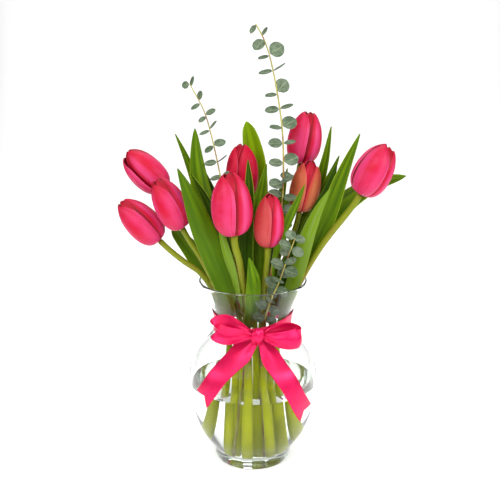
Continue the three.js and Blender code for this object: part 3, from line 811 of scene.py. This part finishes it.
def make_water():
    level = size_of("water_height") / MM
    inside = [(r + WATER_SKIN, z - WATER_SKIN) for r, z in VASE_INNER_WALL if z < level]
    reach = inside[0][0]
    fill = [(0, level), (reach / 2, level), (reach, level), *inside, (0, BASE_THICKNESS - WATER_SKIN)]
    piece("water_fill", turned(fill), shared("clear water", water_finish), "water", levels=0)


# ---- tulips


def stem_line(tulip):
    """A stem's centre line: its route, then straight up into its flower."""
    axis = (Vector(tulip.tip) - Vector(tulip.base)).normalized()
    base = Vector(tulip.base)
    return Line([*tulip.route, base - axis * STEM_NECK, base + axis * STEM_SEAT])


def stem_radius(tulip, height):
    """A stem is thickest at its foot and even above the vase."""
    return tulip.radius + STEM_SWELL * (1 - smooth(0, STEM_EVEN_HEIGHT, height))


def make_stem(name, tulip):
    line = stem_line(tulip)

    def radius(v):
        thick = stem_radius(tulip, line.place(v).z / MM)
        return thick * (1 + 0.2 * smooth(0.975, 1, v) + 0.02 * sin(23 * v))

    bm = tube(line, radius, 14, 46)
    piece(f"tulip_stem_{name}", bm, shared("tulip stem", stem_finish), f"stem_{name}")


def petal_spread(along, full):
    """Angle that a petal covers on each side of its middle, which narrows past full."""
    foot = mix(0.7, 1, smooth(0, 0.25, along))
    past = max((along - full) / (1 - full), 0)
    return foot * max(1 - past**2, 0.002) ** 0.75


def make_petal(name, number, tulip, inner):
    """One petal of a tulip: the outer three wrap the flower, the inner three sit in the gaps."""
    chance = random.Random(f"{name} {number}")
    base, tip = Vector(tulip.base) * MM, Vector(tulip.tip) * MM
    axis = (tip - base).normalized()
    front = across_to(FRONT, axis)
    right = axis.cross(front)
    middle = radians(tulip.turn + 120 * (number % 3) + (60 if inner else 0) + chance.uniform(-4, 4))
    bud = name == "half_open"
    half_angle = radians(62 if inner else 69)
    half_width = tulip.width / 2 * MM * (0.8 if inner else 1.0)
    cup, skew = (0.1, 0.05) if inner else (0.22, 0.08)
    full = 0.84 if inner else 0.5 if bud else 0.6
    length = (tip - base).length * (chance.uniform(0.99, 1.02) if inner else chance.uniform(0.99, 1.03))
    top = chance.uniform(0.985, 0.998) if inner else chance.uniform(0.9, 0.96) - (0.08 if bud else 0)
    flare = 0 if inner else chance.uniform(0.2, 1.2) * MM
    spread = 0 if inner else tulip.open[number] * MM
    lean = radians(tulip.twist + chance.uniform(-4, 4))
    phase = chance.uniform(0, 6)
    side = Line([(r, 0, h) for r, h in PETAL_SIDE])

    def rule(u, v):
        spot = side.place(v * top) / MM
        radius = half_width * spot.x * (1 - cup * abs(u) ** 2.5 + skew * u)
        radius -= 0.35 * MM * exp(-((u / 0.13) ** 2)) * smooth(0.1, 0.4, v)
        radius += 0.4 * MM * sin(9 * v + phase + 2 * u) * abs(u) * smooth(0.15, 0.5, v)
        radius += flare * smooth(0.75, 1, v) + spread * smooth(0.15, 1, v)
        wave = 0.035 * sin(7 * v + phase) * abs(u)
        angle = middle + lean * smooth(0.3, 1, v) + (u + wave) * half_angle * petal_spread(v, full)
        outward = front * cos(angle) + right * sin(angle)
        droop = 0.02 * u * u * smooth(0.5, 0.9, v)
        return base + axis * length * (spot.z - droop) + outward * radius

    shade = "inner" if inner else tulip.petals[number]
    finish = shared(f"{shade} petal", lambda title: petal_finish(title, *PETAL_SHADES[shade]))
    bm = grid(14, 22, rule)
    bmesh.ops.recalc_face_normals(bm, faces=bm.faces)
    piece(
        f"petal_{name}_{number + 1}", bm, finish,
        f"flower_{name}", size_of("petal_thickness"),
    )


# ---- leaves


def blade_width(along, leaf):
    """Width of a blade along its length, as a share of its full width."""
    if along < LEAF_PEAK:
        return leaf.foot + (1 - leaf.foot) * sin(pi / 2 * along / LEAF_PEAK)
    return max(cos(pi / 2 * (along - LEAF_PEAK) / (1 - LEAF_PEAK)), 0) ** leaf.taper


def make_leaf(name, leaf):
    tulip = TULIPS[leaf.on]
    chance = random.Random(name)
    stem = stem_line(tulip)
    outward = heading(leaf.side)
    tip_face = heading(leaf.turn)
    seat = stem_radius(tulip, leaf.at) + CLASP_GAP
    clasp = [stem.place(stem.share_at_height(leaf.at + rise)) / MM for rise in (0, CLASP_LENGTH)]
    spine = Line([*(spot + outward * seat for spot in clasp), *leaf.path])
    phase = chance.uniform(0, 6)

    def rule(u, v):
        way = spine.way(v)
        normal = across_to(outward.lerp(tip_face, smooth(0, 1, v)), way)
        sideways = way.cross(normal)
        half = (LEAF_TIP + (leaf.width / 2 - LEAF_TIP) * blade_width(v, leaf)) * MM
        fold = LEAF_FOLD * smooth(0.1, 0.45, v)
        dip = abs(u) ** 1.35 * sin(fold)
        ripple = 0.05 * sin(8 * v + phase + u) * u * smooth(0.3, 0.6, v)
        return spine.place(v) + sideways * u * half * cos(fold) + normal * half * (ripple - dip)

    finish = shared(f"{leaf.shade} leaf", lambda title: leaf_finish(title, *LEAF_SHADES[leaf.shade]))
    thickness = size_of("leaf_thickness")
    piece(f"tulip_leaf_{name}", grid(8, 30, rule), finish, f"leaf_{name}", thickness)


# ---- eucalyptus


def round_leaf(bm, root, stem_way, leaf, sprig):
    """Adds one cupped round leaf that grows from a place on the stem."""
    _, radius, side, lift, roll = leaf
    grow = across_to(heading(side), stem_way)
    up = across_to(UP, grow)
    lift, roll = radians(lift), radians(roll) * sprig.roll
    reach = grow * cos(lift) + up * sin(lift)
    sky = across_to(up, reach)
    front = across_to(FRONT, reach)
    front = across_to(front, sky) if abs(front.dot(sky)) < 0.99 else reach.cross(sky)
    face = (sky * cos(roll) + front * sin(roll)).normalized()
    face = across_to(face, reach)
    wide = reach.cross(face)
    radius *= sprig.full * MM

    def rule(u, v):
        along = 0.06 + 0.94 * v
        half = radius * sqrt(max(1 - (2 * v - 1) ** 2, 0.004)) * (1.02 - 0.1 * v)
        cup = 0.16 * radius * (u * u) * (half / radius) + 0.1 * radius * (2 * v - 1) ** 2
        crease = 0.05 * radius * exp(-((u / 0.15) ** 2))
        return root + reach * (2 * radius * along) + wide * u * half + face * (cup - crease)

    grid(6, 8, rule, bm)


def make_sprig(name, sprig):
    line = Line(sprig.route)
    twig = tube(line, lambda v: sprig.radius * mix(1, TWIG_TIP, v), 8, 70)
    node = f"eucalyptus_{name}"
    piece(f"sprig_{name}_twig", twig, shared("twig", twig_finish), node, levels=0)
    leaves = bmesh.new()
    for leaf in sprig.leaves:
        share = line.share_at_height(leaf[0])
        round_leaf(leaves, line.place(share), line.way(share), leaf, sprig)
    finish = shared("eucalyptus leaf", eucalyptus_finish)
    piece(f"sprig_{name}_leaves", leaves, finish, node, size_of("round_leaf_thickness"))


# ---- ribbon


def ribbon_piece(name, bm, node=None):
    finish = shared("satin ribbon", satin_finish)
    thickness = size_of("ribbon_thickness")
    thing = piece(f"ribbon_{name}", bm, finish, node or f"bow_{name}", thickness, levels=0)
    size_of("ribbon_width")


def make_band():
    """The band round the neck: it follows the glass, with shallow folds near the knot."""
    width = size_of("ribbon_width") / MM

    def rule(u, v):
        angle = 2 * pi * v - pi / 2
        height = BAND_BOTTOM + width * (1 + u) / 2
        near = exp(-((min(v, 1 - v) / 0.12) ** 2))
        height = mix(height, KNOT_CENTRE[2] + (height - KNOT_CENTRE[2]) * 0.42, near)
        fold = near * 1.1 * (0.5 + 0.5 * cos(3.2 * pi * u))
        radius = wall_radius(height) + 0.6 + fold + 0.25 * sin(7 * angle) ** 2
        return Vector((radius * cos(angle), radius * sin(angle), height)) * MM

    bm = closed(grid(16, 144, rule))
    ribbon_piece("neck", bm, node="ribbon_band")


def make_knot():
    """The knot: a short turn of ribbon, gathered into folds across its width."""
    cx, cy, cz = KNOT_CENTRE
    hx, hy, hz = KNOT_HALF

    def rule(u, v):
        angle = 2 * pi * v
        tuck = radians(112) * u
        bulge = 0.5 + 0.5 * cos(tuck)
        folds = 0.8 * cos(3.4 * pi * u + 2.2 * sin(angle)) * (1 - u * u * 0.5)
        lean = 1.1 * sin(angle)
        y = cy - (hy * bulge + folds) * cos(angle)
        z = cz + (hz * bulge + folds) * sin(angle)
        pinch = mix(1, 0.86, abs(sin(angle)))
        return Vector((cx + hx * sin(tuck) * pinch + lean, y, z)) * MM

    bm = closed(grid(24, 48, rule))
    ribbon_piece("knot", bm)


def make_loop(side, places, tilt):
    """A bow loop: gathered at the knot, full at its far end, and back behind."""
    path = Line(places)
    half = size_of("ribbon_width") / 2

    def rule(u, v):
        way = path.way(v)
        full = sin(pi * v) ** 0.8
        spread = mix(0.22, 1, full)
        rise = across_to(UP + heading(0) * tilt * sin(2 * pi * v), way)
        normal = way.cross(rise)
        folds = (1 - full) * 1.1 * cos(1.7 * pi * u) + 0.5 * sin(3 * u + 5 * v) * full
        bow = 2.8 * (1 - u * u) * full
        return path.place(v) + rise * u * half * spread + normal * (folds + bow) * MM

    bm = grid(24, 96, rule)
    ribbon_piece(f"loop_{side}", bm)


def on_glass(x, z):
    """The place on the front of the glass that is seen from the front at x, z."""
    radius = max(wall_radius(z), abs(x) + 1)
    return Vector((x, -sqrt(radius**2 - x**2), z))


def make_tail(side, centre_line, phase):
    """A tail that lies on the glass, gathered at the knot, with a V cut in its end."""
    path = Line([(x, 0, z) for x, z in centre_line])
    half = size_of("ribbon_width") / 2 / MM
    notch = size_of("ribbon_notch") / MM

    def rule(u, v):
        spot, way = path.place(v) / MM, path.way(v)
        centre = on_glass(spot.x, spot.z)
        ahead = (on_glass(spot.x + way.x * 0.2, spot.z + way.z * 0.2) - centre).normalized()
        radial = Vector((centre.x, centre.y, 0)).normalized()
        sideways = ahead.cross(radial).normalized()
        spread = mix(0.42, 1, smooth(0, 0.24, v))
        strip = centre + sideways * u * half * spread
        strip -= ahead * notch * (1 - abs(u)) * smooth(0.8, 1, v)
        lift = 1.0 + 1.2 * (1 - smooth(0.05, 0.3, v)) + 0.18 * (1 + sin(7 * v + phase + 1.2 * u))
        lift += (1 - smooth(0.05, 0.4, v)) * 0.7 * (1 + cos(1.6 * pi * u))
        reach = wall_radius(strip.z) + lift
        level = hypot(strip.x, strip.y)
        return Vector((strip.x * reach / level, strip.y * reach / level, strip.z)) * MM

    bm = grid(20, 80, rule)
    ribbon_piece(f"tail_{side}", bm)


# ---- stage


def make_sweep():
    """A white sweep: the floor turns up into the backdrop, in metres."""
    front, corner, bend, half_width, under = -2.2, 1.6, 1.0, 3.2, 0.0004

    def rule(u, v):
        run = front + v * 6.0
        turn = min(max((run - corner) / bend, 0), pi / 2)
        wall = max(run - corner - bend * pi / 2, 0)
        y = min(run, corner) + bend * sin(turn)
        return Vector((u * half_width, y, bend * (1 - cos(turn)) + wall - under))

    smooth_object("sweep", grid(2, 60, rule), shared("studio paper", studio_finish))


def make_lamp(name, place, target, size, power, through_glass=True):
    data = bpy.data.lights.new(name, "AREA")
    data.shape = "DISK"
    data.size = size
    data.energy = power
    lamp = put(name, data)
    lamp.location = place
    lamp.visible_transmission = through_glass
    lamp.rotation_euler = (Vector(target) - Vector(place)).to_track_quat("-Z", "Y").to_euler()


def make_camera():
    data = bpy.data.cameras.new("camera")
    data.sensor_width = 36
    data.lens = 63.1
    data.shift_x = -0.0058
    camera = put("camera", data)
    camera.location = (0, -0.887, 0.472)
    camera.rotation_euler = (radians(75), 0, 0)
    bpy.context.scene.camera = camera


def make_world():
    world = bpy.data.worlds.new("studio")
    world.use_nodes = True
    background = world.node_tree.nodes["Background"]
    background.inputs["Color"].default_value = WHITE
    background.inputs["Strength"].default_value = 0.3
    bpy.context.scene.world = world


# ---- settings, operators and panel


def swatch(label, description, default):
    return bpy.props.FloatVectorProperty(
        name=label, description=description, default=default, subtype="COLOR", size=3, min=0, max=1,
    )


def measure(label, description, default):
    """A size setting, with its default in millimetres."""
    return bpy.props.FloatProperty(
        name=label, description=description, default=default * MM, min=0, unit="LENGTH",
    )


class BouquetSettings(bpy.types.PropertyGroup):
    """Sizes and colours of the bouquet."""

    water_height: measure("Water height", "Height of the water above the foot", 89.5)
    petal_thickness: measure("Petal thickness", "Thickness of the petals", 0.7)
    leaf_thickness: measure("Leaf thickness", "Thickness of the tulips' leaves", 0.7)
    round_leaf_thickness: measure("Round leaf thickness", "Thickness of the eucalyptus leaves", 0.4)
    ribbon_width: measure("Ribbon width", "Width of the ribbon", 22)
    ribbon_thickness: measure("Ribbon thickness", "Thickness of the ribbon", 0.4)
    ribbon_notch: measure("Ribbon notch", "Depth of the V cut in the tails", 8)
    petal: swatch("Petal", "Main colour of the outer petals", (0.56, 0.003, 0.034))
    # Lighter pink: random blotches, painted sheen low on the petals and a painted highlight on their flanks.
    petal_blotch_and_sheen: swatch("Petal sheen", "Lighter pink low on the petals", (0.68, 0.055, 0.2))
    petal_deep: swatch("Petal deep", "Deep crimson of veins and tips", (0.42, 0.001, 0.02))
    # Darkest crimson: painted shade in the grooves between petals, and the deepest crimson of the inner
    # petals.
    petal_darkest_and_groove_shade: swatch("Petal groove", "Darkest crimson between petals", (0.2, 0.0005, 0.008))
    petal_margin: swatch("Petal margin", "Pale pink edge of the petals", (0.92, 0.14, 0.27))
    petal_foot: swatch("Petal foot", "Cream green where petals join the stem", (0.5, 0.36, 0.13))
    rose: swatch("Rose", "Dusky rose of a turned petal", (0.42, 0.035, 0.035))
    # Lighter rose: random blotches, painted sheen low on the turned petal and a painted highlight on its
    # flanks.
    rose_blotch_and_sheen: swatch("Rose light", "Lighter rose low on the turned petal", (0.52, 0.075, 0.075))
    bud: swatch("Bud", "Salmon of the half open bud", (0.44, 0.095, 0.032))
    # Lighter salmon: random blotches, painted sheen low on the bud and a painted highlight on its flanks.
    bud_blotch_and_sheen: swatch("Bud light", "Lighter salmon of the half open bud", (0.53, 0.15, 0.06))
    leaf: swatch("Leaf", "Mid green of the leaves", (0.14, 0.25, 0.002))
    leaf_light: swatch("Leaf light", "Light green of the blunt leaf", (0.25, 0.43, 0.004))
    leaf_deep: swatch("Leaf deep", "Deeper green of the front leaves", (0.09, 0.175, 0.001))
    # Dark green of the veins and patches, and painted shade over whole leaves that lie in shadow.
    leaf_dark: swatch("Leaf dark", "Dark green of the leaves", (0.055, 0.125, 0.003))
    # Painted shadow: the darkest green on the leaves that lie in shadow.
    leaf_shadow: swatch("Leaf shadow", "Darkest green of the leaves", (0.022, 0.062, 0.002))
    leaf_grey: swatch("Leaf grey", "Grey green of the clasping leaves", (0.17, 0.26, 0.05))
    leaf_edge: swatch("Leaf edge", "Bright edge and midrib of the leaves", (0.33, 0.46, 0.03))
    leaf_foot: swatch("Leaf foot", "Brown green foot of the leaves", (0.17, 0.135, 0.03))
    stem: swatch("Stem", "Green of the stems", (0.17, 0.205, 0.006))
    stem_light: swatch("Stem light", "Yellow green of the stems", (0.26, 0.285, 0.012))
    stem_wet: swatch("Stem in water", "Bright yellow green low on the stems", (0.66, 0.72, 0.012))
    stem_flush: swatch("Stem flush", "Brown flush of the stems", (0.29, 0.13, 0.04))
    eucalyptus: swatch("Eucalyptus", "Grey green of the round leaves", (0.075, 0.118, 0.063))
    eucalyptus_bloom: swatch("Bloom", "Pale bloom of the round leaves", (0.175, 0.225, 0.152))
    eucalyptus_vein: swatch("Vein", "Veins of the round leaves", (0.33, 0.4, 0.24))
    twig: swatch("Twig", "Cream yellow of the twigs", (0.48, 0.45, 0.12))
    twig_red: swatch("Twig red", "Red side of the twigs", (0.3, 0.1, 0.05))
    ribbon: swatch("Ribbon", "Hot pink satin", (0.66, 0.003, 0.072))
    ribbon_light: swatch("Ribbon light", "Lighter pink of the satin", (0.78, 0.009, 0.11))
    ribbon_deep: swatch("Ribbon deep", "Deeper pink of the threads", (0.5, 0.002, 0.034))
    glass: swatch("Glass", "Colour of the glass", (0.95, 0.965, 0.95))
    glass_thick: swatch("Glass cast", "Cast of the glass where it is thick", (0.5, 0.58, 0.48))
    water: swatch("Water", "Colour of the water", (0.99, 1.0, 0.99))
    water_deep: swatch("Water cast", "Faint cast of the water", (0.97, 0.99, 0.975))


class MakeVase(bpy.types.Operator):
    """Makes the glass vase"""

    bl_idname = "bouquet.make_vase"
    bl_label = "Vase"

    def execute(self, context):
        make_vase()
        return {"FINISHED"}


class MakeWater(bpy.types.Operator):
    """Fills the vase with water"""

    bl_idname = "bouquet.make_water"
    bl_label = "Water"

    def execute(self, context):
        make_water()
        return {"FINISHED"}


class MakeStems(bpy.types.Operator):
    """Makes the tulips' stems"""

    bl_idname = "bouquet.make_stems"
    bl_label = "Stems"

    def execute(self, context):
        for name, tulip in TULIPS.items():
            make_stem(name, tulip)
        return {"FINISHED"}


class MakeFlowers(bpy.types.Operator):
    """Makes the tulips' petals"""

    bl_idname = "bouquet.make_flowers"
    bl_label = "Flowers"

    def execute(self, context):
        for name, tulip in TULIPS.items():
            for number in range(6):
                make_petal(name, number, tulip, inner=number > 2)
        return {"FINISHED"}


class MakeLeaves(bpy.types.Operator):
    """Makes the tulips' leaves"""

    bl_idname = "bouquet.make_leaves"
    bl_label = "Leaves"

    def execute(self, context):
        for name, leaf in LEAVES.items():
            make_leaf(name, leaf)
        return {"FINISHED"}


class MakeSprigs(bpy.types.Operator):
    """Makes the eucalyptus sprigs"""

    bl_idname = "bouquet.make_sprigs"
    bl_label = "Eucalyptus"

    def execute(self, context):
        for name, sprig in SPRIGS.items():
            make_sprig(name, sprig)
        return {"FINISHED"}


class MakeRibbon(bpy.types.Operator):
    """Makes the ribbon: its band, knot, loops and tails"""

    bl_idname = "bouquet.make_ribbon"
    bl_label = "Ribbon"

    def execute(self, context):
        make_band()
        make_knot()
        make_loop("left", LOOP_LEFT, 0.1)
        make_loop("right", LOOP_RIGHT, -0.1)
        make_tail("left", TAIL_LEFT, 0.4)
        make_tail("right", TAIL_RIGHT, 2.0)
        return {"FINISHED"}


class MakeStage(bpy.types.Operator):
    """Makes the floor, the light and the camera"""

    bl_idname = "bouquet.make_stage"
    bl_label = "Stage"

    def execute(self, context):
        make_sweep()
        make_world()
        make_lamp("key", (-0.7, -1.45, 1.5), (0, 0, 0.25), 1.5, 25)
        make_lamp("fill", (1.1, -1.3, 1.1), (0, 0, 0.25), 1.4, 14)
        make_lamp("top", (0.1, 0.3, 1.7), (0, 0, 0.25), 1.4, 13)
        make_lamp("left side", (-1.2, -0.45, 0.5), (0, 0, 0.2), 0.6, 4, False)
        make_lamp("right side", (1.2, -0.55, 0.55), (0, 0, 0.2), 0.5, 6, False)
        make_camera()
        context.scene.view_settings.view_transform = "Standard"
        context.scene.cycles.max_bounces = 256
        context.scene.cycles.glossy_bounces = 64
        context.scene.cycles.transmission_bounces = 256
        return {"FINISHED"}


class BouquetPanel(bpy.types.Panel):
    """Lists the bouquet's makers and its settings"""

    bl_idname = "VIEW3D_PT_bouquet"
    bl_label = "Bouquet"
    bl_space_type = "VIEW_3D"
    bl_region_type = "UI"
    bl_category = "Bouquet"

    def draw(self, context):
        for maker in MAKERS:
            self.layout.operator(maker.bl_idname)
        for name in BouquetSettings.__annotations__:
            self.layout.prop(context.scene.bouquet, name)


MAKERS = (MakeVase, MakeWater, MakeStems, MakeFlowers, MakeLeaves, MakeSprigs, MakeRibbon, MakeStage)
CLASSES = (BouquetSettings, *MAKERS, BouquetPanel)


def register():
    for each in CLASSES:
        bpy.utils.register_class(each)
    bpy.types.Scene.bouquet = bpy.props.PointerProperty(type=BouquetSettings)


def unregister():
    del bpy.types.Scene.bouquet
    for each in reversed(CLASSES):
        bpy.utils.unregister_class(each)


def main():
    register()
    bpy.ops.bouquet.make_vase()
    bpy.ops.bouquet.make_water()
    bpy.ops.bouquet.make_stems()
    bpy.ops.bouquet.make_flowers()
    bpy.ops.bouquet.make_leaves()
    bpy.ops.bouquet.make_sprigs()
    bpy.ops.bouquet.make_ribbon()
    bpy.ops.bouquet.make_stage()
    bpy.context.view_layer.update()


if __name__ == "__main__":
    main()
